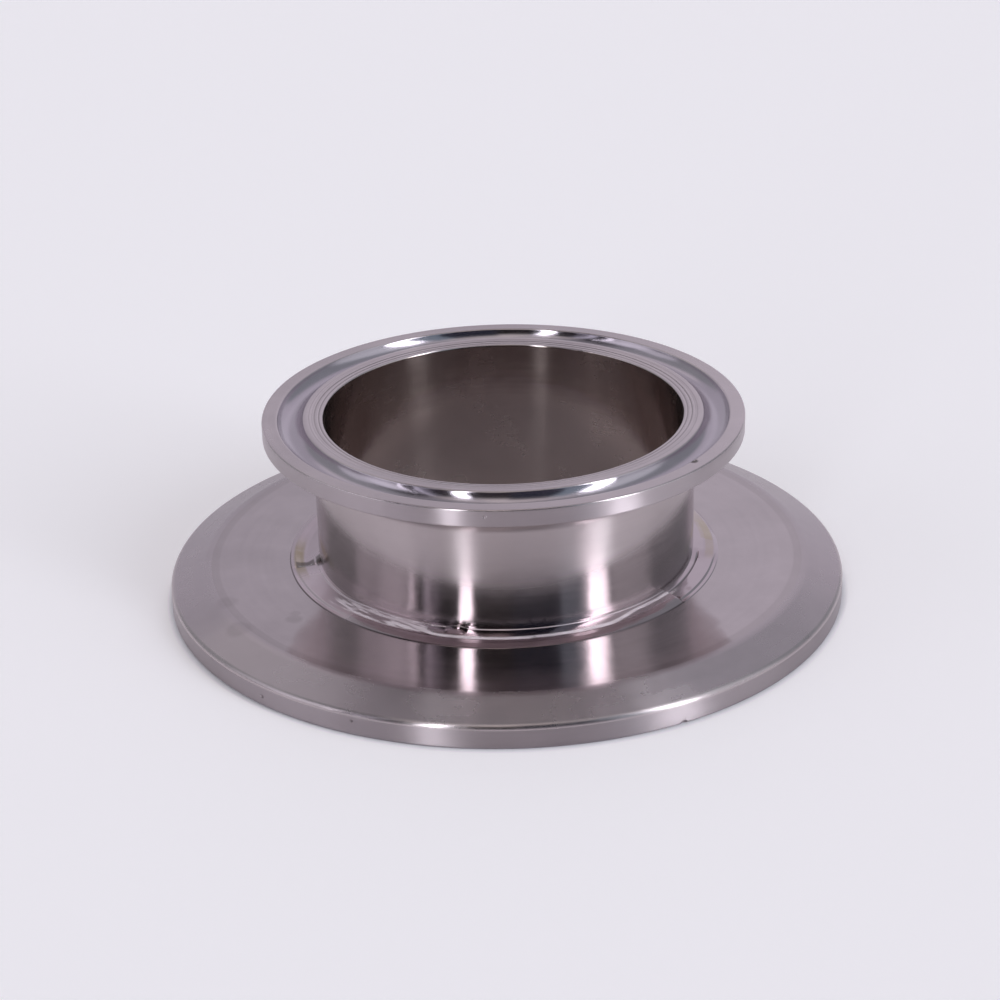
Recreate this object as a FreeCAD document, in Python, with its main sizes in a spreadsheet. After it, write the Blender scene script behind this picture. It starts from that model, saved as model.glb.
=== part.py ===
# Sanitary clamp reducing end cap: a bored clamp end cap with a turned weld ferrule standing in its hole.
# Millimetres. +Z runs up the bore, and the origin is on the bore's centre line in the large gasket face.

import FreeCAD, Part
import math
import os

import Sketcher

Vector = FreeCAD.Vector

drivingSizes = {
    # the large clamp end
    "largeFlangeWidth": 91.0,
    "largeRimThickness": 3.1,
    "plateThickness": 4.9,
    "plateShoulderRound": 3.0,
    # the small clamp end
    "smallFlangeWidth": 64.0,
    "smallRimThickness": 2.3,
    "flangeRootRound": 2.3,
    # the clamp seat that both ends share
    "clampTaperAngle": 20.0,
    "grooveInset": 3.75,
    "grooveWidth": 3.4,
    "grooveFloorWidth": 1.6,
    "grooveDepth": 1.45,
    # the tube, and the fitting from face to face
    "tubeOutsideWidth": 50.8,
    "tubeWall": 1.5,
    "overallHeight": 25.4,
    # the welded joint between the tube and the end cap
    "tubeSeatClearance": 0.05,
    "tubeSetback": 1.2,
    "outerWeldWidth": 3.7,
    "outerWeldRise": 1.1,
    "outerWeldCrestInset": 1.3,
    "outerWeldCrestRise": 0.75,
}

# lengths worked out from the driving sizes
largeRim = "(Sizes.largeFlangeWidth / 2)"
plateTop = "Sizes.plateThickness"
plateShoulder = f"({largeRim} - ({plateTop} - Sizes.largeRimThickness) / tan(Sizes.clampTaperAngle))"
smallRim = "(Sizes.smallFlangeWidth / 2)"
smallFace = "Sizes.overallHeight"
smallRimFoot = f"({smallFace} - Sizes.smallRimThickness)"
tubeOutside = "(Sizes.tubeOutsideWidth / 2)"
flangeRoot = f"({smallRimFoot} - ({smallRim} - {tubeOutside}) * tan(Sizes.clampTaperAngle))"
rootReach = "(Sizes.flangeRootRound * tan((90 - Sizes.clampTaperAngle) / 2))"
rootTopOut = f"({tubeOutside} + {rootReach} * cos(Sizes.clampTaperAngle))"
rootTopUp = f"({flangeRoot} + {rootReach} * sin(Sizes.clampTaperAngle))"
bore = f"({tubeOutside} - Sizes.tubeWall)"
tubeFoot = "Sizes.tubeSetback"
tubeSeat = f"({tubeOutside} + Sizes.tubeSeatClearance)"
outerWeldToe = f"({tubeOutside} + Sizes.outerWeldWidth)"
outerWeldCrest = f"({outerWeldToe} - Sizes.outerWeldCrestInset)"
outerWeldCrestUp = f"({plateTop} + Sizes.outerWeldCrestRise)"
outerWeldTop = f"({plateTop} + Sizes.outerWeldRise)"


def makeSizes(doc):
    sheet = doc.addObject("Spreadsheet::Sheet", "Sizes")
    for row, (name, value) in enumerate(drivingSizes.items(), start=1):
        sheet.set(f"A{row}", name)
        sheet.set(f"B{row}", str(value))
        sheet.setAlias(f"B{row}", name)
    doc.recompute()


def worth(item, length):
    return float(item.evalExpression(length))


def makeBody(doc, label):
    body = doc.addObject("PartDesign::Body", label)
    body.Label = label
    return body


def makeSketch(body, name):
    # the sketch's own X runs out from the centre line, and its own Y runs up the bore
    sketch = body.newObject("Sketcher::SketchObject", name)
    upright = next(plane for plane in body.Origin.OriginFeatures if plane.Role == "XZ_Plane")
    sketch.AttachmentSupport = [(upright, "")]
    sketch.MapMode = "FlatFace"
    return sketch


def bindSize(sketch, name, constraint, length):
    index = sketch.addConstraint(constraint)
    sketch.renameConstraint(index, name)
    sketch.setExpression(f"Constraints.{name}", length)


def pinPoint(sketch, name, edge, end, out, up):
    outward = Sketcher.Constraint("DistanceX", -1, 1, edge, end, worth(sketch, out))
    upward = Sketcher.Constraint("DistanceY", -1, 1, edge, end, worth(sketch, up))
    bindSize(sketch, name + "Out", outward, out)
    bindSize(sketch, name + "Up", upward, up)


def arcBetween(start, end, radius):
    # the shorter arc that runs counter-clockwise from start to end
    chord = end - start
    inward = Vector(-chord.y, chord.x, 0).normalize()
    depth = math.sqrt(radius ** 2 - (chord.Length / 2) ** 2)
    centre = (start + end) / 2 + inward * depth
    startAngle = math.atan2(start.y - centre.y, start.x - centre.x)
    endAngle = math.atan2(end.y - centre.y, end.x - centre.x)
    return Part.ArcOfCircle(Part.Circle(centre, Vector(0, 0, 1), radius), startAngle, endAngle)


def drawOutline(sketch, corners, hollow=(None, None)):
    # A closed outline, drawn counter-clockwise. Its sides are straight, but for one that may be hollowed
    # into the metal to a radius: the side that starts at the named corner.
    hollowSide, hollowRadius = hollow
    places = [Vector(worth(sketch, out), worth(sketch, up), 0) for out, up in corners.values()]
    following = places[1:] + places[:1]
    ends = []
    for name, start, end in zip(corners, places, following):
        if name == hollowSide:
            sketch.addGeometry(arcBetween(end, start, worth(sketch, hollowRadius)), False)
            ends.append((2, 1))
        else:
            sketch.addGeometry(Part.LineSegment(start, end), False)
            ends.append((1, 2))
    for side, (name, (out, up)) in enumerate(corners.items()):
        after = (side + 1) % len(corners)
        sketch.addConstraint(Sketcher.Constraint("Coincident", side, ends[side][1], after, ends[after][0]))
        pinPoint(sketch, name, side, ends[side][0], out, up)
        if name == hollowSide:
            radius = Sketcher.Constraint("Radius", side, worth(sketch, hollowRadius))
            bindSize(sketch, name + "Radius", radius, hollowRadius)


def turn(body, sketch, name):
    solid = body.newObject("PartDesign::Revolution", name)
    solid.Profile = sketch
    solid.ReferenceAxis = (sketch, ["V_Axis"])
    solid.Angle = 360
    sketch.Document.recompute()


def cutGasketGroove(body, name, rim, face, floor):
    # the gasket's bead seats in a groove with sloping walls and a flat floor
    middle = f"{rim} - Sizes.grooveInset"
    sketch = makeSketch(body, name + "Section")
    drawOutline(sketch, {
        "innerLip": (f"{middle} - Sizes.grooveWidth / 2", face),
        "outerLip": (f"{middle} + Sizes.grooveWidth / 2", face),
        "outerFloor": (f"{middle} + Sizes.grooveFloorWidth / 2", floor),
        "innerFloor": (f"{middle} - Sizes.grooveFloorWidth / 2", floor),
    })
    before = body.Shape.Volume
    groove = body.newObject("PartDesign::Groove", name)
    groove.Profile = sketch
    groove.ReferenceAxis = (sketch, ["V_Axis"])
    groove.Angle = 360
    body.Document.recompute()
    if groove.Shape.Volume >= before:
        raise RuntimeError(f"{name} cuts nothing from {body.Label}")


def ringEdge(item, out, up):
    # the name of the circular edge at this distance from the centre line and this height
    radius = worth(item, out)
    height = worth(item, up)
    for number, edge in enumerate(item.Shape.Edges, start=1):
        if not isinstance(edge.Curve, Part.Circle):
            continue
        if math.isclose(edge.Curve.Radius, radius, abs_tol=1e-4):
            if math.isclose(edge.Curve.Center.z, height, abs_tol=1e-4):
                return f"Edge{number}"
    raise RuntimeError(f"{item.Label} has no edge {radius:.3f} out and {height:.3f} up")


def roundEdge(body, name, radius, out, up):
    # a fillet along one ring-shaped edge of the body as it stands
    base = body.Tip
    fillet = body.newObject("PartDesign::Fillet", name)
    fillet.Base = (base, [ringEdge(base, out, up)])
    fillet.setExpression("Radius", radius)
    body.Document.recompute()


def makeEndCapPlate(doc):
    body = makeBody(doc, "end_cap_plate")
    sketch = makeSketch(body, "PlateSection")
    drawOutline(sketch, {
        "seatFoot": (tubeSeat, "0"),
        "rimFoot": (largeRim, "0"),
        "rimTop": (largeRim, "Sizes.largeRimThickness"),
        "shoulder": (plateShoulder, plateTop),
        "seatTop": (tubeSeat, plateTop),
    })
    turn(body, sketch, "TurnedPlate")
    cutGasketGroove(body, "LargeGasketGroove", largeRim, "0", "Sizes.grooveDepth")
    roundEdge(body, "Shoulder", "Sizes.plateShoulderRound", plateShoulder, plateTop)
    return body


def makeWeldFerrule(doc):
    body = makeBody(doc, "weld_ferrule")
    sketch = makeSketch(body, "FerruleSection")
    drawOutline(sketch, {
        "boreFoot": (bore, tubeFoot),
        "tubeFoot": (tubeOutside, tubeFoot),
        "rootFoot": (tubeOutside, f"{flangeRoot} - {rootReach}"),
        "rootTop": (rootTopOut, rootTopUp),
        "rimFoot": (smallRim, smallRimFoot),
        "rimTop": (smallRim, smallFace),
        "boreMouth": (bore, smallFace),
    }, hollow=("rootFoot", "Sizes.flangeRootRound"))
    turn(body, sketch, "TurnedFerrule")
    cutGasketGroove(body, "SmallGasketGroove", smallRim, smallFace, f"{smallFace} - Sizes.grooveDepth")
    return body


def makeOuterWeld(doc):
    # a fillet weld in the corner between the plate and the tube, steep up to its crest and flatter behind it
    body = makeBody(doc, "outer_weld_bead")
    sketch = makeSketch(body, "OuterWeldSection")
    drawOutline(sketch, {
        "corner": (tubeOutside, plateTop),
        "toe": (outerWeldToe, plateTop),
        "crest": (outerWeldCrest, outerWeldCrestUp),
        "top": (tubeOutside, outerWeldTop),
    })
    turn(body, sketch, "OuterWeld")
    return body


def makeInnerWeld(doc):
    # the root weld under the tube's end, dressed flush with the bore and the gasket face
    body = makeBody(doc, "inner_weld_bead")
    sketch = makeSketch(body, "InnerWeldSection")
    drawOutline(sketch, {
        "boreFoot": (bore, "0"),
        "seatFoot": (tubeSeat, "0"),
        "seatTop": (tubeSeat, tubeFoot),
        "boreTop": (bore, tubeFoot),
    })
    turn(body, sketch, "InnerWeld")
    return body


def checkModel(doc, bodies):
    for item in doc.Objects:
        if "Invalid" in item.State or "Error" in item.State:
            raise RuntimeError(f"{item.Label} failed: {item.State}")
    for body in bodies:
        shape = body.Shape
        if shape.isNull() or not shape.isValid() or len(shape.Solids) != 1:
            raise RuntimeError(f"{body.Label} is not one valid solid")


def main():
    doc = FreeCAD.newDocument("ReducingEndCap")
    makeSizes(doc)
    bodies = [makeEndCapPlate(doc), makeWeldFerrule(doc), makeOuterWeld(doc), makeInnerWeld(doc)]
    doc.recompute()
    checkModel(doc, bodies)
    os.makedirs("parts", exist_ok=True)
    for body in bodies:
        body.Shape.exportStep(f"parts/{body.Label}.step")
        print(f"{body.Label}: {body.Shape.Volume:.1f} mm3")


main()
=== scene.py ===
import bpy
import math
from mathutils import Matrix, Vector


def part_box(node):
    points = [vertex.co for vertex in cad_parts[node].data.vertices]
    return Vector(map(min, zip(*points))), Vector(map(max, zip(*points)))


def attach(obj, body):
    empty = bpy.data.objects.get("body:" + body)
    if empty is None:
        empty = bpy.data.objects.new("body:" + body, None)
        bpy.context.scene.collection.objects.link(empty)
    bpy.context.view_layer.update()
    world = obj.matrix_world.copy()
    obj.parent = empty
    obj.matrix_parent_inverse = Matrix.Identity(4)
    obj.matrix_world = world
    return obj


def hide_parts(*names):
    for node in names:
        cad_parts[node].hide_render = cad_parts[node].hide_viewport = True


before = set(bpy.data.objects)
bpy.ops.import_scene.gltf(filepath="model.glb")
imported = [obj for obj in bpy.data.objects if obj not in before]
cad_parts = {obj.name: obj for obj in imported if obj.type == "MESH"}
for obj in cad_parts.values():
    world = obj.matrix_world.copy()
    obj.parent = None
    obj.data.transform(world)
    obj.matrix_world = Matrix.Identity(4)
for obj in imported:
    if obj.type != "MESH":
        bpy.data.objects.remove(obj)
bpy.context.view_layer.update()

mm = 0.001
metre = 1000
degree = math.radians(1)

# The frame's own sizes, in millimetres.
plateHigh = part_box("end_cap_plate")[1] / mm
ferruleLow, ferruleHigh = (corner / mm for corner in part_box("weld_ferrule"))
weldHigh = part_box("outer_weld_bead")[1] / mm
plateRim = plateHigh.x
plateTop = plateHigh.z
smallRim = ferruleHigh.x
smallFace = ferruleHigh.z
tubeFoot = ferruleLow.z
weldToe = weldHigh.x
print("frame loaded: the cap is", round(2 * plateRim, 1), "mm across and", round(smallFace, 1), "mm tall")


# The node writer.

class Wire:
    # a socket that can be added, multiplied and so on like a number
    def __init__(self, board, socket):
        self.board = board
        self.socket = socket

    def maths(self, operation, first, second=None):
        values = {0: first} if second is None else {0: first, 1: second}
        return self.board.add("ShaderNodeMath", {"operation": operation}, values)

    def __add__(self, other):
        return self.maths("ADD", self, other)

    def __radd__(self, other):
        return self.maths("ADD", other, self)

    def __sub__(self, other):
        return self.maths("SUBTRACT", self, other)

    def __rsub__(self, other):
        return self.maths("SUBTRACT", other, self)

    def __mul__(self, other):
        return self.maths("MULTIPLY", self, other)

    def __rmul__(self, other):
        return self.maths("MULTIPLY", other, self)

    def __truediv__(self, other):
        return self.maths("DIVIDE", self, other)

    def __pow__(self, other):
        return self.maths("POWER", self, other)

    def __abs__(self):
        return self.maths("ABSOLUTE", self)


class Board:
    # the node tree of one material or of the world
    def __init__(self, tree):
        self.tree = tree
        self.tree.nodes.clear()

    def add(self, kind, settings=None, values=None, out=0):
        # a node of any kind: its settings are set first, then the values or links of its sockets
        node = self.tree.nodes.new(kind)
        for name, value in (settings or {}).items():
            setattr(node, name, value)
        for key, value in (values or {}).items():
            if isinstance(value, Wire):
                self.tree.links.new(value.socket, node.inputs[key])
            else:
                node.inputs[key].default_value = value
        if len(node.outputs):
            return Wire(self, node.outputs[out])

    def blend(self, factor, first, second):
        settings = {"data_type": "RGBA", "clamp_factor": True}
        return self.add("ShaderNodeMix", settings, {0: factor, 6: first, 7: second}, out=2)

    def scale(self, colour, factor):
        return self.add("ShaderNodeVectorMath", {"operation": "SCALE"}, {0: colour, "Scale": factor})

    def between(self, value, low, high):
        # 0 below low, 1 above high, and smooth in between
        settings = {"interpolation_type": "SMOOTHSTEP"}
        return self.add("ShaderNodeMapRange", settings, {0: value, 1: low, 2: high, 3: 0.0, 4: 1.0})

    def band(self, value, low, high, soft):
        # 1 from low to high, fading to 0 over soft on each side
        rise = self.between(value, low - soft, low)
        fall = self.between(value, high, high + soft)
        return rise * (1 - fall)


# Turned shapes: a closed section in (distance from the centre line, height), spun round the centre line.

turning = {
    "steps": 480,
    "markSteps": 7,
    "arcStep": 9 * degree,
    "fewestArcSteps": 3,
    "guard": 0.05,
    "shortest": 0.01,
    "sharp": 32 * degree,
}


def unit(across, up):
    length = math.hypot(across, up)
    return across / length, up / length


def softened(corners):
    # The section's points. Each corner is (out, up, radius), and its round starts and ends with a guard
    # point on the straight beside it, which keeps the flats flat to the light.
    points = []
    for index, (out, up, radius) in enumerate(corners):
        before = corners[index - 1]
        after = corners[(index + 1) % len(corners)]
        backOut, backUp = unit(before[0] - out, before[1] - up)
        aheadOut, aheadUp = unit(after[0] - out, after[1] - up)
        if not radius:
            points.append((out, up))
            continue
        opening = math.acos(max(-1, min(1, backOut * aheadOut + backUp * aheadUp)))
        turnAngle = math.pi - opening
        reach = radius * math.tan(turnAngle / 2)
        middleOut, middleUp = unit(backOut + aheadOut, backUp + aheadUp)
        centreOut = out + middleOut * radius / math.sin(opening / 2)
        centreUp = up + middleUp * radius / math.sin(opening / 2)
        guardAt = reach + turning["guard"]
        points.append((out + backOut * guardAt, up + backUp * guardAt))
        startAngle = math.atan2(up + backUp * reach - centreUp, out + backOut * reach - centreOut)
        endAngle = math.atan2(up + aheadUp * reach - centreUp, out + aheadOut * reach - centreOut)
        sweep = (endAngle - startAngle + math.pi) % (2 * math.pi) - math.pi
        count = max(turning["fewestArcSteps"], math.ceil(turnAngle / turning["arcStep"]))
        for step in range(count + 1):
            angle = startAngle + sweep * step / count
            points.append((centreOut + radius * math.cos(angle), centreUp + radius * math.sin(angle)))
        points.append((out + aheadOut * guardAt, up + aheadUp * guardAt))
    return points


def roundSteps(marks=()):
    # angles round the piece: even ones, and closer ones over each mark
    angles = {step * 360 / turning["steps"] for step in range(turning["steps"])}
    for mark in marks:
        half = math.degrees(mark["around"] / mark["out"])
        count = turning["markSteps"]
        angles |= {(mark["angle"] + half * step / count) % 360 for step in range(-count, count + 1)}
    return [angle * degree for angle in sorted(angles)]


def crowded(section, marks):
    # the section with more points where a straight of it passes a mark
    points = []
    for index, (out, up) in enumerate(section):
        points.append((out, up))
        nextOut, nextUp = section[(index + 1) % len(section)]
        length = math.hypot(nextOut - out, nextUp - up)
        added = set()
        for mark in marks:
            along = ((mark["out"] - out) * (nextOut - out) + (mark["up"] - up) * (nextUp - up)) / length
            offOut = out + (nextOut - out) * along / length - mark["out"]
            offUp = up + (nextUp - up) * along / length - mark["up"]
            if math.hypot(offOut, offUp) > mark["across"]:
                continue
            for step in range(-turning["markSteps"], turning["markSteps"] + 1):
                place = along + mark["across"] * step / turning["markSteps"]
                if turning["shortest"] < place < length - turning["shortest"]:
                    added.add(place / length)
        points += [(out + (nextOut - out) * share, up + (nextUp - up) * share) for share in sorted(added)]
    return points


def dent(out, up, angle, marks):
    # moves a point that lies in a mark, most at the mark's middle
    for mark in marks:
        turned = (angle - mark["angle"] * degree + math.pi) % (2 * math.pi) - math.pi
        around = turned * mark["out"] / mark["around"]
        across = math.hypot(out - mark["out"], up - mark["up"]) / mark["across"]
        share = 1 - around ** 2 - across ** 2
        if share > 0:
            out += mark["push"][0] * share
            up += mark["push"][1] * share
    return out, up


def spin(name, section, marks=(), angles=None, shape=None):
    # shape(index, angle) gives a point of the section at one angle, where it isn't the same all round
    angles = angles or roundSteps(marks)
    section = crowded(section, marks)
    verts = []
    for angle in angles:
        for index, (out, up) in enumerate(section):
            out, up = shape(index, angle) if shape else dent(out, up, angle, marks)
            verts.append((out * mm * math.cos(angle), out * mm * math.sin(angle), up * mm))
    count = len(section)
    faces = []
    for ring in range(len(angles)):
        here = ring * count
        there = (ring + 1) % len(angles) * count
        for place in range(count):
            after = (place + 1) % count
            faces.append((here + place, there + place, there + after, here + after))
    mesh = bpy.data.meshes.new(name)
    mesh.from_pydata(verts, [], faces)
    mesh.validate()
    mesh.shade_smooth()
    mesh.set_sharp_from_angle(angle=turning["sharp"])
    piece = bpy.data.objects.new(name, mesh)
    bpy.context.scene.collection.objects.link(piece)
    return piece


def grooveCorners(rim, face, into):
    # the round-bottomed gasket groove, cut from a face; into is +1 where the metal lies above the face
    middle = rim - clampSeat["grooveInset"]
    radius = clampSeat["beadRadius"]
    centre = face + into * (clampSeat["grooveDepth"] - radius)
    lipAngle = math.acos((radius - clampSeat["grooveDepth"]) / radius)
    corners = []
    for step in range(clampSeat["grooveSteps"] + 1):
        angle = lipAngle * (2 * step / clampSeat["grooveSteps"] - 1)
        lip = clampSeat["lipRound"] if step in (0, clampSeat["grooveSteps"]) else 0
        corners.append((middle + radius * math.sin(angle), centre + into * radius * math.cos(angle), lip))
    return corners


# Materials.

steel = {
    "colour": (0.50, 0.435, 0.45),
    # the dark colour of the spots and of the rings of painted shade
    "stainAndShade": (0.09, 0.07, 0.065, 1.0),
    # the tool lines: how close they lie, how often they change on the way round, and how much they change
    # the shade and the roughness
    "streaks": {"perMm": 1.1, "around": 1.2, "shade": 0.35, "gloss": 1.2},
    "fineLines": {"perMm": 2.4, "around": 3.0, "shade": 0.2, "gloss": 0.8},
    "heightShare": 1.37,
    "cloudsPerMetre": 130.0,
    "cloudGloss": 2,
    "wavesPerMetre": 260.0,
    "raggedness": 1.5,
    "acrossTheLines": 0.25,
    # the shader's squared aspect is 1 - 0.9 x its anisotropy
    "stretchLimit": 0.9,
}


def makeMaterial(name):
    material = bpy.data.materials.new(name)
    material.use_nodes = True
    return material, Board(material.node_tree)


def anisotropy(finish):
    # the shader's roughness and anisotropy for reflections that spread less along the tool lines than across
    narrow = math.sqrt(max(finish["along"] / finish["across"], 1 - steel["stretchLimit"]))
    return math.sqrt(finish["across"] * narrow), (1 - narrow ** 2) / steel["stretchLimit"]


def turnedSteel(name, finish, spots=()):
    # steel with its tool lines running round the centre line, so reflections draw out across them
    material, board = makeMaterial(name)
    place = board.add("ShaderNodeTexCoord", out="Object")
    split = board.add("ShaderNodeSeparateXYZ", values={0: place}).socket.node
    x, y, z = (Wire(board, split.outputs[axis]) for axis in range(3))
    out = (x * x + y * y) ** 0.5
    line = out * metre + z * (metre * steel["heightShare"])

    def toolLines(lines):
        around = lines["around"]
        along = board.add("ShaderNodeCombineXYZ", values={
            0: x / out * around, 1: y / out * around, 2: line * lines["perMm"],
        })
        return board.add("ShaderNodeTexNoise", values={"Vector": along, "Scale": 1.0, "Detail": 1.0}) - 0.5

    fine = toolLines(steel["fineLines"])
    streak = toolLines(steel["streaks"])
    cloud = board.add("ShaderNodeTexNoise", values={
        "Vector": place, "Scale": steel["cloudsPerMetre"], "Detail": 4.0, "Roughness": 0.6,
    }) - 0.5
    wave = board.add("ShaderNodeTexNoise", values={
        "Vector": place, "Scale": steel["wavesPerMetre"], "Detail": 1.0,
    })

    def uneven(cloudy, effect):
        lines = steel["streaks"][effect] * streak + steel["fineLines"][effect] * fine
        return 1 + cloudy * cloud + finish["streaky"] * lines

    gloss = uneven(steel["cloudGloss"] * finish["cloudy"], "gloss")
    colour = [part * tone for part, tone in zip(steel["colour"], finish["tone"])]
    tone = board.scale(colour, uneven(finish["cloudy"], "shade"))
    for angle, spotOut, up, size, depth in spots:
        centre = (spotOut * mm * math.cos(angle * degree), spotOut * mm * math.sin(angle * degree), up * mm)
        ends = {0: place, 1: centre}
        away = board.add("ShaderNodeVectorMath", {"operation": "DISTANCE"}, ends, out="Value")
        ragged = away * metre / size + steel["raggedness"] * cloud
        tone = board.blend(depth * (1 - board.between(ragged, 0.5, 1.0)), tone, steel["stainAndShade"])
    # rings of painted shade, standing for fine tool grooves and for the flat's outer edge
    for ringOut, ringUp, width, depth in finish.get("shadeRings", ()):
        aside = out * metre - ringOut
        over = z * metre - ringUp
        near = 1 - board.between((aside * aside + over * over) ** 0.5, width / 2, width)
        tone = board.blend(depth * near, tone, steel["stainAndShade"])
    height = wave * (finish["wavy"] * mm) + streak * (finish["grooved"] * mm)
    bump = board.add("ShaderNodeBump", values={"Strength": 1.0, "Distance": 1.0, "Height": height})

    def mirror(spread, colour):
        roughness, stretch = anisotropy(spread)
        return board.add("ShaderNodeBsdfPrincipled", values={
            "Base Color": colour, "Metallic": 1.0, "Roughness": roughness * gloss, "Anisotropic": stretch,
            "Anisotropic Rotation": steel["acrossTheLines"], "Normal": bump,
        })

    shader = mirror(finish, tone)
    if "veil" in finish:
        # the deeper tool lines draw a part of the light out much further, between two heights, which start
        # higher on the sides that face along x; the veil's colour is scaled by its lift, which on the tube
        # paints light
        veil = finish["veil"]
        level = z * metre - veil["sideRise"] * (x * x) / (out * out)
        share = veil["share"] * board.between(level, veil["from"], veil["full"])
        paintedLighter = mirror(veil, board.scale(tone, veil["paintedLift"]))
        shader = board.add("ShaderNodeMixShader", values={0: share, 1: shader, 2: paintedLighter})
    board.add("ShaderNodeOutputMaterial", values={"Surface": shader})
    return material


def finishZones(piece, sizes, zone):
    # zone(out, up) names the finish that a face of the piece takes
    for name, finish in sizes["finishes"].items():
        piece.data.materials.append(turnedSteel(name, finish, sizes.get("spots", ())))
    order = list(sizes["finishes"])
    for face in piece.data.polygons:
        x, y, z = face.center / mm
        face.material_index = order.index(zone(math.hypot(x, y), z))


# The weld metal's look. A mark is (where it starts and ends round the piece and how it fades, in degrees; the
# same out from the centre line, in millimetres; how strong it is). Angles past 180 go on round from the back.
weldLook = {
    "colours": {
        "metal": (0.5, 0.42, 0.45, 1.0),
        "brushed": (0.72, 0.61, 0.65, 1.0),
        # the colour of the painted shade on the front's lower slope
        "paintedShade": (0.26, 0.21, 0.22, 1.0),
        "paintedHighlight": (1.0, 0.9, 0.94, 1.0),
        # the colour of the painted highlights
        "olive": (0.36, 0.29, 0.19, 1.0),
        "straw": (0.46, 0.38, 0.31, 1.0),
        # dark heat tint, also used as painted shade at the crater's end
        "burntAndShade": (0.08, 0.06, 0.055, 1.0),
        # the colour of the painted shade in creases
        "creaseShade": (0.10, 0.07, 0.075, 1.0),
    },
    "marks": {
        # painted highlight: a thin bright line near the tube's foot
        "foot highlight line": ((-134.0, -70.0, 7.0), (25.85, 25.93, 0.05), 0.3),
        # where the rubbed streaks are, which also carry painted highlights
        "rubbed face": ((-143.0, -113.0, 5.0), (25.9, 27.5, 0.3), 1.0),
        "olive tint": ((181.0, 189.5, 12.0), (27.4, 28.3, 0.4), 1.0),
        # heat tint and painted shade on the crater's end wall and in its corner at the tube
        "crater end burn and shade": ((187.8, 190.6, 1.2), (26.0, 28.2, 0.25), 1.0),
        "crater foot burn and shade": ((188.0, 191.5, 2.0), (25.2, 25.8, 0.25), 1.0),
        "heat tint blob": ((-107.0, -102.0, 1.0), (25.2, 26.2, 0.2), 0.7),
        "straw tint": ((2.0, 150.0, 10.0), (27.1, 28.2, 0.5), 1.0),
        "straw end": ((-8.0, 10.0, 5.0), (27.5, 28.3, 0.3), 1.0),
        # painted shade in the crease along the bead's toe
        "toe": ((-178.0, -39.0, 4.0), (28.98, 29.12, 0.08), 1.0),
        # painted shade along the groove of the split face
        "seam groove shade": ((-36.0, -13.0, 1.5), (26.04, 26.18, 0.06), 0.7),
    },
    # stretches of the bead, as (from, to, fading), all across it
    "front": (-128.0, -39.0, 9.0),
    "stopHollow": (158.0, 189.0, 3.0),
    "brushedLeft": (-162.0, -116.0, 7.0),
    "brushedRight": (-64.0, -38.5, 7.0),
    # painted shade: a thin dark line across the bead at its seam
    "seam": (-37.75, -37.1, 0.2),
    "dressed": (-172.0, 4.0, 6.0),
    # the painted highlight along the dressed front's ridge, which comes nearer the tube at both ends
    "ridge": {
        "out": 27.6, "half": 0.12, "fade": 0.26, "least": 0.4, "streaky": 0.9,
        "right": (-62.0, -50.0), "rightInset": 0.9, "left": (-122.0, -108.0), "leftInset": 1.3,
    },
    # rubbed streaks that run round the bead and climb a little on the way; they add bumps, and on the rubbed
    # face painted highlights
    "streaks": {
        "around": 9000, "climb": 0.04, "perMm": 2.6, "from": 0.42, "full": 0.6, "share": 0.9, "height": 0.05,
    },
    # the front's lower slope gets painted shade and is less brushed
    "lowerFront": (27.5, 28.3),
    "lowerShade": 0.35,
    "lowerBrushed": 0.8,
    # how strong each tint is, or its least and how much the grain adds
    "brushedTint": 0.5,
    "burntAndShadeTint": 0.8,
    "toeShade": 0.75,
    "seamShade": 0.8,
    "oliveTint": (0.45, 0.6),
    "strawTint": (0.3, 0.5),
    "grain": {"perMetre": 900.0, "gloss": 0.04, "height": 0.004},
    "gloss": {"dressed": 0.09, "hollow": 0.12, "paintedHighlight": 0.26, "brushed": 0.2, "asLaid": 0.14},
    # the painted highlights are less metallic, so their bright colour shows whatever the light
    "paintedHighlightMetallic": 0.65,
    "anisotropy": 0.5,
}


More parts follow.
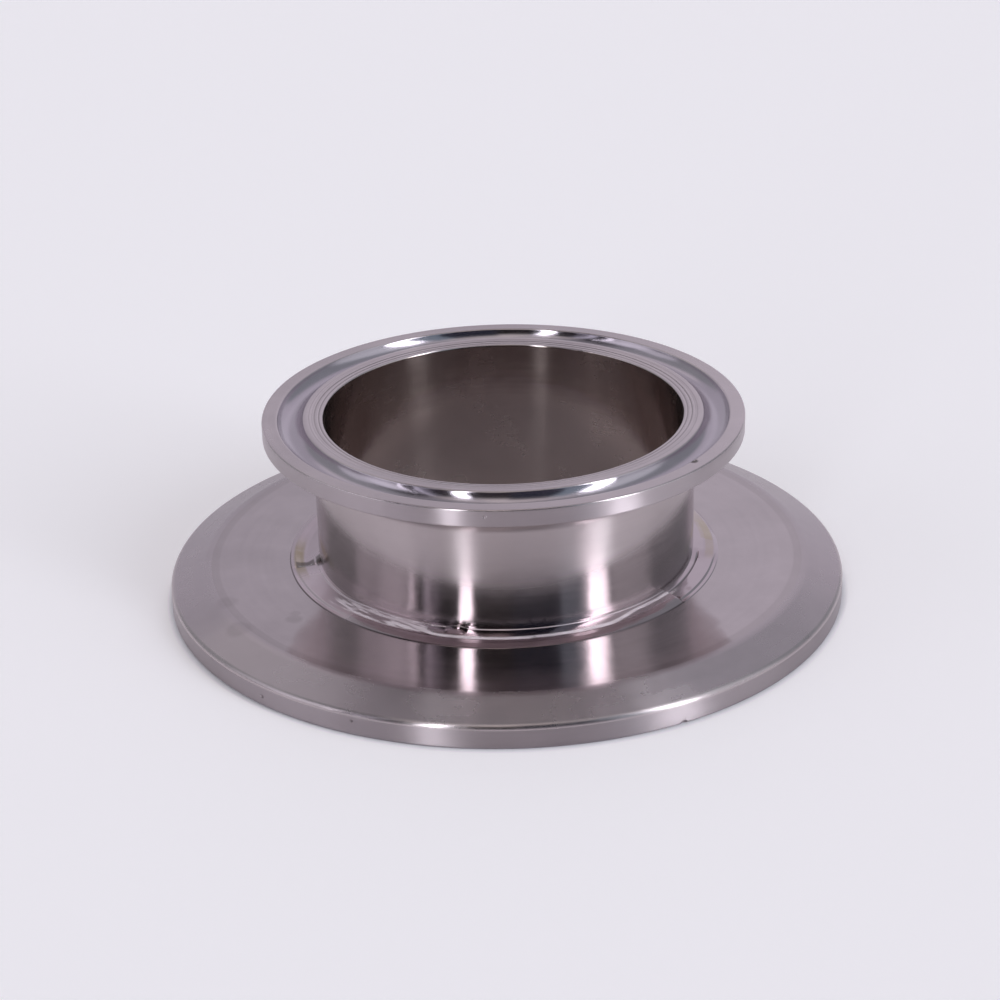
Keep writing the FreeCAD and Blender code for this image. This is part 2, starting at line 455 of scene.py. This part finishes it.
def weldMetal(name):
    # weld metal: dressed in front with painted highlights on it, as laid behind with the brown tint of its
    # heat, and with painted shade in its creases
    material, board = makeMaterial(name)
    look, colours, streaks, ridge = weldLook, weldLook["colours"], weldLook["streaks"], weldLook["ridge"]
    place = board.add("ShaderNodeTexCoord", out="Object")
    split = board.add("ShaderNodeSeparateXYZ", values={0: place}).socket.node
    x, y = (Wire(board, split.outputs[axis]) for axis in range(2))
    out = (x * x + y * y) ** 0.5 * metre
    # the bead leans to one side of the tube, so rings on it are measured from a centre of their own
    leanX = x - outerWeld["lean"] * mm
    ring = (leanX * leanX + y * y) ** 0.5 * metre
    angle = board.add("ShaderNodeMath", {"operation": "ARCTAN2"}, {0: y, 1: x}) * (1 / degree)
    behind = board.add("ShaderNodeMath", {"operation": "WRAP"}, {0: angle, 1: 360.0, 2: 0.0})
    noise = board.add("ShaderNodeTexNoise", values={
        "Vector": place, "Scale": look["grain"]["perMetre"], "Detail": 3.0,
    })
    along = board.add("ShaderNodeCombineXYZ", values={
        0: x / out * streaks["around"], 1: y / out * streaks["around"],
        2: (out - streaks["climb"] * angle) * streaks["perMm"],
    })
    rubs = board.add("ShaderNodeTexNoise", values={"Vector": along, "Scale": 1.0, "Detail": 2.0})

    def mark(name, turned, outward):
        side, across, share = look["marks"][name]
        return share * board.band(turned, *side) * board.band(outward, *across)

    def brighter(first, second):
        return board.add("ShaderNodeMath", {"operation": "MAXIMUM"}, {0: first, 1: second})

    front = board.band(angle, *look["front"])
    spine = ridge["out"] - ridge["rightInset"] * board.between(angle, *ridge["right"])
    spine = spine - ridge["leftInset"] * (1 - board.between(angle, *ridge["left"]))
    # painted highlight: a band of the bright colour along the front's ridge, broken by the rubbed streaks
    crest = front * board.band(ring - spine, -ridge["half"], ridge["half"], ridge["fade"])
    crest = crest * (ridge["least"] + ridge["streaky"] * rubs)
    rubbedAndHighlit = mark("rubbed face", angle, ring)
    streaky = rubbedAndHighlit * board.between(rubs, streaks["from"], streaks["full"])
    # painted highlights: the ridge, the line near the tube's foot and the rubbed streaks
    paintedHighlight = brighter(brighter(crest, mark("foot highlight line", angle, out)), streaks["share"] * streaky)
    lower = front * board.between(ring, *look["lowerFront"])
    brushed = board.band(angle, *look["brushedLeft"]) + board.band(angle, *look["brushedRight"])
    brushed = brushed * (1 - look["lowerBrushed"] * lower)
    olive = mark("olive tint", behind, ring)
    straw = mark("straw tint", behind, ring) + mark("straw end", angle, ring)
    # heat tint, with painted shade at the crater's end
    burntAndShade = mark("crater end burn and shade", behind, ring) + mark("crater foot burn and shade", behind, out)
    burntAndShade = burntAndShade + mark("heat tint blob", angle, out)
    # painted shade in the toe's crease and along the seam
    toe = mark("toe", angle, ring)
    seam = board.band(angle, *look["seam"]) + mark("seam groove shade", angle, out)

    def patchy(tint):
        least, more = tint
        return least + more * noise

    colour = board.blend(look["brushedTint"] * brushed, colours["metal"], colours["brushed"])
    # painted shade on the front's lower slope
    colour = board.blend(look["lowerShade"] * lower, colour, colours["paintedShade"])
    colour = board.blend(paintedHighlight, colour, colours["paintedHighlight"])
    colour = board.blend(olive * patchy(look["oliveTint"]), colour, colours["olive"])
    colour = board.blend(straw * patchy(look["strawTint"]), colour, colours["straw"])
    colour = board.blend(look["burntAndShadeTint"] * burntAndShade, colour, colours["burntAndShade"])
    colour = board.blend(look["toeShade"] * toe, colour, colours["creaseShade"])
    colour = board.blend(look["seamShade"] * seam, colour, colours["creaseShade"])
    rough = look["gloss"]
    gloss = rough["dressed"] + look["grain"]["gloss"] * (noise - 0.5)
    gloss = gloss + rough["hollow"] * board.band(behind, *look["stopHollow"])
    gloss = gloss + rough["paintedHighlight"] * paintedHighlight + rough["brushed"] * brushed
    gloss = gloss + rough["asLaid"] * (1 - board.band(angle, *look["dressed"]))
    height = noise * (look["grain"]["height"] * mm) + rubs * rubbedAndHighlit * (streaks["height"] * mm)
    bump = board.add("ShaderNodeBump", values={"Strength": 1.0, "Distance": 1.0, "Height": height})
    shader = board.add("ShaderNodeBsdfPrincipled", values={
        "Base Color": colour, "Metallic": 1 - look["paintedHighlightMetallic"] * paintedHighlight, "Roughness": gloss,
        "Anisotropic": look["anisotropy"], "Anisotropic Rotation": steel["acrossTheLines"], "Normal": bump,
    })
    board.add("ShaderNodeOutputMaterial", values={"Surface": shader})
    return material


# Pieces.

# A finish says how far it spreads a reflection along and across the tool lines, its tone, and how cloudy,
# streaky, wavy and grooved it is. Its rings of painted shade, which stand for fine tool grooves and a flat's
# edge, are (out, up, width, depth), and a veil is the same metal seen rougher, its colour scaled by a lift
# that on the tube paints light.

# both clamp ends
clampSeat = {
    "taper": 20 * degree,
    "grooveInset": 3.75,
    "beadRadius": 1.7,
    "grooveDepth": 1.45,
    "grooveSteps": 26,
    "lipRound": 0.3,
    "slack": 0.01,
}

plate = {
    "rimThickness": 3.1,
    "seat": 25.45,
    "rimTopRound": 0.75,
    "rimFootRound": 0.35,
    "shoulderRound": 3.0,
    "flatReach": 39.9,
    "finishes": {
        "faced flat": {
            "along": 0.008, "across": 0.08, "tone": (0.98, 0.98, 0.98),
            "cloudy": 0.3, "streaky": 0.2, "wavy": 0.02, "grooved": 0.003,
            # painted shade: a soft dark ring at the flat's outer edge
            "shadeRings": ((39.5, 4.9, 0.8, 0.13),),
        },
        "satin taper": {
            "along": 0.025, "across": 0.2, "tone": (0.95, 0.95, 0.96),
            "cloudy": 0.3, "streaky": 0.18, "wavy": 0.02, "grooved": 0.003,
        },
        "lathed rim": {
            "along": 0.03, "across": 0.52, "tone": (0.88, 0.88, 0.9),
            "cloudy": 0.3, "streaky": 0.3, "wavy": 0.01, "grooved": 0.004,
        },
        "burnished edge": {
            "along": 0.03, "across": 0.2, "tone": (1.0, 1.0, 1.0),
            "cloudy": 0.3, "streaky": 0.3, "wavy": 0.02, "grooved": 0.004,
        },
    },
    # dark spots, as (angle, out, up, size, depth): smudges on the faces, and spots that darken the rim's nick
    # and pits
    "spots": (
        (-144.4, 33.8, 4.9, 1.3, 0.16), (-146.5, 32.9, 4.9, 0.9, 0.14), (-62.2, 45.4, 0.1, 0.5, 0.25),
        (-132.5, 45.5, 1.36, 0.35, 0.5), (-115.0, 45.5, 2.0, 0.3, 0.5), (-158.3, 39.2, 4.8, 2.2, 0.12),
        (-147.8, 40.5, 4.6, 2.0, 0.12), (-83.4, 33.7, 4.9, 0.4, 0.5),
    ),
    # a nick in the rim's lower edge, and two pits in the rim
    "marks": (
        {"angle": -62.2, "out": 45.5, "up": 0.15, "around": 0.5, "across": 0.4, "push": (-0.22, 0.06)},
        {"angle": -132.5, "out": 45.5, "up": 1.36, "around": 0.3, "across": 0.25, "push": (-0.15, 0)},
        {"angle": -115.0, "out": 45.5, "up": 2.0, "around": 0.25, "across": 0.2, "push": (-0.12, 0)},
    ),
}


def makePlate():
    shoulder = plateRim - (plateTop - plate["rimThickness"]) / math.tan(clampSeat["taper"])
    corners = [(plate["seat"], 0, 0)]
    corners += grooveCorners(plateRim, 0, 1)
    corners += [
        (plateRim, 0, plate["rimFootRound"]),
        (plateRim, plate["rimThickness"], plate["rimTopRound"]),
        (shoulder, plateTop, plate["shoulderRound"]),
        (plate["seat"], plateTop, 0),
    ]
    piece = spin("plate_turned", softened(corners), plate["marks"])
    edge = plate["rimTopRound"] * math.tan((90 * degree - clampSeat["taper"]) / 2)

    def zone(out, up):
        if out > plateRim - edge:
            return "burnished edge" if up > plate["rimThickness"] - edge else "lathed rim"
        tapered = out > plate["flatReach"] and up > plate["rimThickness"]
        return "satin taper" if tapered else "faced flat"

    finishZones(piece, plate, zone)
    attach(piece, "root")
    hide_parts("end_cap_plate")


ferrule = {
    "rimThickness": 2.3,
    "tube": 25.4,
    "bore": 23.9,
    "rootRound": 2.3,
    "rimRound": 0.25,
    "mouthRound": 0.25,
    "mouthFall": 0.14,
    # how far in from the rim its face's finish starts, and how far down the groove's does
    "rimMargin": 0.03,
    "landMargin": 0.02,
    # fine tool rings round the bore's mouth, as (in from the rim, depth)
    "mouthRings": (
        (6.50, 0), (6.56, 0.03), (6.62, 0.015), (6.95, 0.03), (7.01, 0.07), (7.07, 0.045), (7.45, 0.07),
        (7.51, 0.11), (7.57, 0.085), (7.80, 0.11),
    ),
    "finishes": {
        "polished tube": {
            "along": 0.006, "across": 0.06, "tone": (0.9, 0.9, 0.89),
            "cloudy": 0.2, "streaky": 0.15, "wavy": 0.03, "grooved": 0.003,
            # painted light: the veil lightens the upper tube's colour by its lift
            "veil": {
                "along": 0.03, "across": 0.4, "share": 0.62, "from": 10.4, "full": 13.1, "sideRise": 5.0,
                "paintedLift": 1.42,
            },
        },
        "lathed small rim": {
            "along": 0.007, "across": 0.42, "tone": (1.0, 1.0, 1.02),
            "cloudy": 0.3, "streaky": 0.3, "wavy": 0.01, "grooved": 0.004,
        },
        "faced gasket land": {
            "along": 0.018, "across": 0.16, "tone": (1.1, 1.1, 1.1),
            "cloudy": 0.35, "streaky": 0.4, "wavy": 0.02, "grooved": 0.008,
            # painted shade: dark rings on the land round the bore's mouth, standing for its fine tool rings
            "shadeRings": ((24.45, 25.31, 0.1, 0.45), (25.05, 25.35, 0.1, 0.45), (25.75, 25.4, 0.06, 0.25)),
        },
        "honed bore with painted shade": {
            # its tone is darker and browner than the other steel: painted shade inside the bore
            "along": 0.008, "across": 0.025, "tone": (0.74, 0.69, 0.63),
            "cloudy": 0.4, "streaky": 0.12, "wavy": 0.02, "grooved": 0.002,
            "veil": {
                "along": 0.006, "across": 0.2, "share": 0.32, "from": -2.0, "full": -1.0, "sideRise": 0.0,
                "paintedLift": 1.0,
            },
        },
        "polished groove": {
            "along": 0.008, "across": 0.1, "tone": (0.95, 0.97, 1.04),
            "cloudy": 0.2, "streaky": 0.2, "wavy": 0.02, "grooved": 0.004,
        },
    },
    "spots": (
        (-37.9, 30.15, 25.3, 0.75, 1.0), (163.0, 29.2, 25.4, 0.7, 0.5), (-94.6, 32.0, 24.5, 0.3, 0.15),
    ),
    # a pit beside the groove, and a tick in the rim
    "marks": (
        {"angle": -37.4, "out": 30.1, "up": 25.4, "around": 0.4, "across": 0.22, "push": (0, -0.3)},
        {"angle": -94.6, "out": 32.0, "up": 24.5, "around": 0.2, "across": 0.15, "push": (-0.08, 0)},
    ),
}


def makeFerrule():
    rimFoot = smallFace - ferrule["rimThickness"]
    root = rimFoot - (smallRim - ferrule["tube"]) * math.tan(clampSeat["taper"])
    corners = [
        (ferrule["bore"], tubeFoot, 0),
        (ferrule["tube"], tubeFoot, 0),
        (ferrule["tube"], root, ferrule["rootRound"]),
        (smallRim, rimFoot, ferrule["rimRound"]),
        (smallRim, smallFace, ferrule["rimRound"]),
    ]
    corners += reversed(grooveCorners(smallRim, smallFace, -1))
    corners += [(smallRim - inset, smallFace - deep, 0) for inset, deep in ferrule["mouthRings"]]
    corners += [(ferrule["bore"], smallFace - ferrule["mouthFall"], ferrule["mouthRound"])]
    piece = spin("ferrule_turned", softened(corners), ferrule["marks"])
    grooveMiddle = smallRim - clampSeat["grooveInset"]
    grooveFoot = smallFace - clampSeat["grooveDepth"] - clampSeat["slack"]

    def zone(out, up):
        if out < (ferrule["bore"] + ferrule["tube"]) / 2 and up < smallFace - ferrule["mouthRound"]:
            return "honed bore with painted shade"
        if up > grooveFoot and out < smallRim - ferrule["rimMargin"]:
            hollow = up < smallFace - ferrule["landMargin"]
            hollow = hollow and abs(out - grooveMiddle) < clampSeat["beadRadius"]
            return "polished groove" if hollow else "faced gasket land"
        return "lathed small rim" if out > smallRim - ferrule["rimRound"] else "polished tube"

    finishZones(piece, ferrule, zone)
    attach(piece, "root")
    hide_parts("weld_ferrule")


outerWeld = {
    "steps": 1080,
    "facePoints": 64,
    "reach": 3.7,
    "lean": -0.3,
    # faces from toe to tube, as (in from the toe, up from the plate, round)
    "faces": {
        "dressed": (
            (0, 0, 0), (0.1, 0.12, 0.04), (0.6, 0.16, 0.1), (0.8, 0.34, 0.1), (3.2, 0.5, 0.05),
            (3.3, 0.64, 0.03), (3.7, 0.7, 0),
        ),
        "crested": (
            (0, 0, 0), (0.05, 0.06, 0.02), (0.9, 0.6, 4.2), (2.6, 0.98, 3.4), (3.15, 0.95, 0.05),
            (3.25, 1.05, 0.03), (3.7, 1.1, 0),
        ),
        "split": (
            (0, 0, 0), (0.1, 0.1, 0.04), (0.55, 0.14, 0.1), (0.75, 0.34, 0.1), (2.85, 0.5, 0.05),
            (2.98, 0.34, 0.02), (3.11, 0.5, 0.05), (3.7, 0.62, 0),
        ),
        "laid": ((0, 0, 0), (0.6, 0.38, 0.4), (2.2, 0.82, 1.0), (3.7, 1.1, 0)),
        "hollow": (
            (0, 0, 0), (0.14, 0.2, 0.06), (0.75, 0.3, 0.1), (1.3, 0.14, 0.2), (2.2, 0.1, 0.6),
            (2.9, 0.5, 0.3), (3.7, 1.15, 0),
        ),
    },
    # where one face gives way to the next: angle, how fast, the face before and the face after
    "changes": (
        (-169.8, 1.0, "hollow", "dressed"),
        (-139.0, 7.0, "dressed", "crested"),
        (-37.6, 0.3, "crested", "split"),
        (-11.0, 4.0, "split", "laid"),
        (152.0, 6.0, "laid", "hollow"),
    ),
    # the ripples of the bead as laid, behind
    "ripples": {"middle": 92, "half": 66, "fade": 14, "every": 2.6, "height": 0.045, "bend": 1.1},
    "waves": {"height": 0.012, "slow": 0.31, "shift": 1, "quick": 0.83, "across": 6},
    "seam": {"angle": -37.4, "half": 0.28, "deep": 0.1, "slant": 1.6},
    "blob": {"angle": -104.3, "half": 3.0, "from": 0.5, "rise": 0.3, "fadeIn": 0.2, "fadeOut": 0.06},
}


def evenly(points, count):
    # points at even steps along an open line
    lengths = [0]
    for (out, up), (nextOut, nextUp) in zip(points, points[1:]):
        lengths.append(lengths[-1] + math.hypot(nextOut - out, nextUp - up))
    spread = []
    side = 0
    for step in range(count):
        place = lengths[-1] * step / (count - 1)
        while side < len(points) - 2 and lengths[side + 1] < place:
            side += 1
        share = (place - lengths[side]) / (lengths[side + 1] - lengths[side])
        spread.append(tuple(a + (b - a) * share for a, b in zip(points[side], points[side + 1])))
    return spread


def smooth(value):
    value = max(0, min(1, value))
    return value * value * (3 - 2 * value)


def wrapped(angle):
    return (angle + 180) % 360 - 180


def weldFace(angle, faces):
    # the face's points at one angle, in degrees
    for start, half, before, after in outerWeld["changes"]:
        offset = wrapped(angle - start)
        if abs(offset) < half:
            share = smooth((offset / half + 1) / 2)
            pairs = zip(faces[before], faces[after])
            return [tuple(a + (b - a) * share for a, b in zip(first, second)) for first, second in pairs]
    nearest = min(outerWeld["changes"], key=lambda change: (angle - change[0]) % 360)
    return faces[nearest[3]]


def makeOuterWeld():
    faces = {}
    for name, corners in outerWeld["faces"].items():
        # two corners under the face close its outline while its rounds are made, and are left off again
        line = softened(corners + ((outerWeld["reach"], -1, 0), (0, -1, 0)))
        faces[name] = evenly(line[:-2], outerWeld["facePoints"])
    angles = [step * 360 / outerWeld["steps"] for step in range(outerWeld["steps"])]
    shown = {angle * degree: weldFace(wrapped(angle), faces) for angle in angles}
    ripples, waves = outerWeld["ripples"], outerWeld["waves"]
    seam, blob = outerWeld["seam"], outerWeld["blob"]

    def unevenness(turned, share):
        # what the ripples, the seam and the blob add to the face at one angle and one share of its width
        body = math.sin(math.pi * share)
        laid = smooth((ripples["half"] - abs(wrapped(turned - ripples["middle"]))) / ripples["fade"])
        turns = turned / ripples["every"] + ripples["bend"] * (share - 0.5) ** 2
        rise = laid * ripples["height"] * math.sin(2 * math.pi * turns) * body
        slow = math.sin(turned * waves["slow"] + waves["shift"])
        quick = math.sin(turned * waves["quick"]) * math.sin(waves["across"] * share)
        rise += waves["height"] * body * (slow + quick)
        aside = wrapped(turned - seam["angle"] + seam["slant"] * (share - 0.5)) / seam["half"]
        rise -= seam["deep"] * body * max(0, 1 - abs(aside))
        bulge = max(0, 1 - (wrapped(turned - blob["angle"]) / blob["half"]) ** 2)
        bulge *= smooth((share - blob["from"]) / blob["fadeIn"]) * smooth((1 - share) / blob["fadeOut"])
        return rise + blob["rise"] * bulge

    def shape(index, angle):
        # point 0 is the corner between the tube and the plate, and the others run from the toe to the tube
        if index == 0:
            return ferrule["tube"], plateTop
        turned = wrapped(math.degrees(angle))
        toe = weldToe + outerWeld["lean"] * math.cos(angle)
        share = (index - 1) / (outerWeld["facePoints"] - 1)
        inset, rise = shown[angle][index - 1]
        out = toe - inset * (toe - ferrule["tube"]) / outerWeld["reach"]
        return out, plateTop + max(rise + unevenness(turned, share), 0)

    section = [(0, 0)] * (1 + outerWeld["facePoints"])
    piece = spin("weld_bead", section, angles=list(shown), shape=shape)
    piece.data.materials.append(weldMetal("weld metal"))
    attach(piece, "root")
    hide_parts("outer_weld_bead")


def makeInnerWeld():
    bore, seat = ferrule["bore"], plate["seat"]
    piece = spin("root_bead", [(bore, 0), (seat, 0), (seat, tubeFoot), (bore, tubeFoot)])
    piece.data.materials.append(turnedSteel("dressed weld", plate["finishes"]["satin taper"]))
    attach(piece, "root")
    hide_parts("inner_weld_bead")


# The floor, the light and the camera.

studio = {
    "floorSize": 3.0,
    "floorColour": (0.80, 0.785, 0.83, 1.0),
    "floorRoughness": 0.9,
    "floorSpecular": 0.1,
    # painted light: the floor glows round the cap, fading to none at its rim as a painted contact shadow, and
    # in a ring under its bore; with its distances from the centre line
    "floorGlow": (0.262, 0.24, 0.235, 1.0),
    "glowFrom": 45.2,
    "glowFull": 46.6,
    "boreGlow": (0.13, 0.118, 0.118, 1.0),
    "boreGlowFrom": 13,
    "boreGlowFull": 22,
    "boreGlowTo": 24,
    "boreGlowEnd": 24.4,
    "dark": (0.0, 0.0, 0.0, 1.0),
    # bright panels round the table, as (middle, half width, foot, head, fading, light). The first two go
    # round from the front toward the right, and foot and head go up from the table, all in degrees.
    "panels": {
        "back wall": (182, 45, 0, 54, 10, (0.65, 0.63, 0.71, 1)),
        "back left": (206, 19, 0, 54, 10, (0.56, 0.545, 0.61, 1)),
        "back right": (170, 5, 0, 54, 6, (0.71, 0.69, 0.77, 1)),
        "back left high": (212, 12, 38, 54, 8, (0.82, 0.79, 0.84, 1)),
        "right behind": (115, 25, 5, 60, 10, (0.34, 0.37, 0.4, 1)),
        "left behind": (-115, 20, 5, 60, 10, (0.38, 0.4, 0.42, 1)),
        "ceiling": (150, 150, 66, 100, 8, (0.34, 0.34, 0.36, 1)),
        "front ceiling": (12, 60, 60, 100, 16, (0.9, 0.86, 0.84, 1)),
        "left wall": (-81, 21, 10, 38, 2, (0.80, 0.81, 0.88, 1)),
        "left wall near": (-73, 4, 10, 38, 10.5, (1.1, 1.11, 1.21, 1)),
        "left shade": (-45, 2.5, 6, 50, 2.5, (0.22, 0.22, 0.26, 1)),
        "left edge": (-58.9, 0.5, 6, 46, 1.1, (3.2, 3.2, 3.5, 1)),
        "left strip": (-48.9, 1.2, 6, 50, 1.9, (1.0, 1.0, 1.15, 1)),
        "right wall": (80, 11, 4, 60, 11, (0.80, 0.85, 0.90, 1)),
        "front fill": (20, 14, 8, 60, 6, (0.015, 0.022, 0.04, 1)),
        "right step": (41, 7, 6, 60, 3, (0.28, 0.36, 0.42, 1)),
        "left lamp low": (-25.2, 2.9, 3, 18, 0.9, (8.5, 8.8, 9.2, 1)),
        "left lamp": (-25.0, 3.0, 18, 50, 0.9, (7.2, 7.5, 7.9, 1)),
        "left lamp high": (-25.0, 3.0, 50, 78, 1.0, (0.6, 0.6, 0.65, 1)),
        "right lamp low": (56.2, 5.9, 3, 18, 1.0, (7.6, 7.9, 8.3, 1)),
        "right lamp": (56.2, 5.9, 18, 50, 1.0, (7.2, 7.5, 7.9, 1)),
        "right lamp high": (56.2, 5.9, 50, 78, 1.0, (0.7, 0.7, 0.75, 1)),
    },
}


def makeFloor():
    half = studio["floorSize"] / 2
    mesh = bpy.data.meshes.new("floor")
    corners = [(-half, -half, 0), (half, -half, 0), (half, half, 0), (-half, half, 0)]
    mesh.from_pydata(corners, [], [(0, 1, 2, 3)])
    floor = bpy.data.objects.new("floor", mesh)
    bpy.context.scene.collection.objects.link(floor)
    material, board = makeMaterial("pale table")
    place = board.add("ShaderNodeTexCoord", out="Object")
    out = board.add("ShaderNodeVectorMath", {"operation": "LENGTH"}, {0: place}, out="Value")
    # painted light: the glow fades to none at the cap's rim, and under the bore it shines in a ring near the
    # wall
    share = board.between(out, studio["glowFrom"] * mm, studio["glowFull"] * mm)
    under = board.between(out, studio["boreGlowFrom"] * mm, studio["boreGlowFull"] * mm)
    under = under * (1 - board.between(out, studio["boreGlowTo"] * mm, studio["boreGlowEnd"] * mm))
    paintedBoreLight = board.blend(under, studio["dark"], studio["boreGlow"])
    shader = board.add("ShaderNodeBsdfPrincipled", values={
        "Base Color": studio["floorColour"], "Roughness": studio["floorRoughness"],
        "Specular IOR Level": studio["floorSpecular"],
        "Emission Color": board.blend(share, paintedBoreLight, studio["floorGlow"]), "Emission Strength": 1.0,
    })
    board.add("ShaderNodeOutputMaterial", values={"Surface": shader})
    mesh.materials.append(material)


def makeLight():
    world = bpy.data.worlds.new("studio")
    world.use_nodes = True
    bpy.context.scene.world = world
    board = Board(world.node_tree)
    way = board.add("ShaderNodeTexCoord", out="Generated")
    split = board.add("ShaderNodeSeparateXYZ", values={0: way}).socket.node
    x, y, z = (Wire(board, split.outputs[axis]) for axis in range(3))
    side = board.add("ShaderNodeMath", {"operation": "ARCTAN2"}, {0: x, 1: 0 - y}) * (1 / degree)
    rise = board.add("ShaderNodeMath", {"operation": "ARCSINE"}, {0: z}) * (1 / degree)
    light = studio["dark"]
    for middle, half, foot, head, fade, glow in studio["panels"].values():
        turned = board.add("ShaderNodeMath", {"operation": "WRAP"}, {0: side - middle, 1: 180.0, 2: -180.0})
        across = 1 - board.between(abs(turned), half, half + fade)
        light = board.blend(across * board.band(rise, foot, head, fade), light, glow)
    background = board.add("ShaderNodeBackground", values={"Color": light})
    board.add("ShaderNodeOutputWorld", values={"Surface": background})


camera = {
    "picturePixels": 1000,
    "focalPixels": 2402.2,
    "sensor": 36,
    "nearest": 5,
    "distance": 324.3,
    "elevation": 24.68,
    "aimHeight": 12.24,
    "roll": -1.246,
    "pan": -0.00211,
    "tilt": -0.00052,
}


def makeCamera():
    rise = camera["elevation"] * degree
    ahead = Vector((0, math.cos(rise), -math.sin(rise)))
    spot = Vector((0, 0, camera["aimHeight"])) - ahead * camera["distance"]
    right = Vector((1, 0, 0))
    up = right.cross(ahead)
    turn = Matrix.Rotation(-camera["pan"], 3, up)
    ahead, right = turn @ ahead, turn @ right
    nod = Matrix.Rotation(camera["tilt"], 3, right)
    ahead, up = nod @ ahead, nod @ up
    lean = camera["roll"] * degree
    across = right * math.cos(lean) + up * math.sin(lean)
    upright = -right * math.sin(lean) + up * math.cos(lean)
    data = bpy.data.cameras.new("camera")
    data.sensor_width = camera["sensor"]
    data.lens = camera["focalPixels"] / camera["picturePixels"] * camera["sensor"]
    data.clip_start = camera["nearest"] * mm
    lens = bpy.data.objects.new("camera", data)
    turnTo = Matrix((across, upright, -ahead)).transposed()
    lens.matrix_world = Matrix.Translation(spot * mm) @ turnTo.to_4x4()
    bpy.context.scene.collection.objects.link(lens)
    bpy.context.scene.camera = lens


makePlate()
makeFerrule()
makeOuterWeld()
makeInnerWeld()
print("pieces made")
makeFloor()
makeLight()
makeCamera()
bpy.context.scene.view_settings.view_transform = "Standard"
print("stage set")
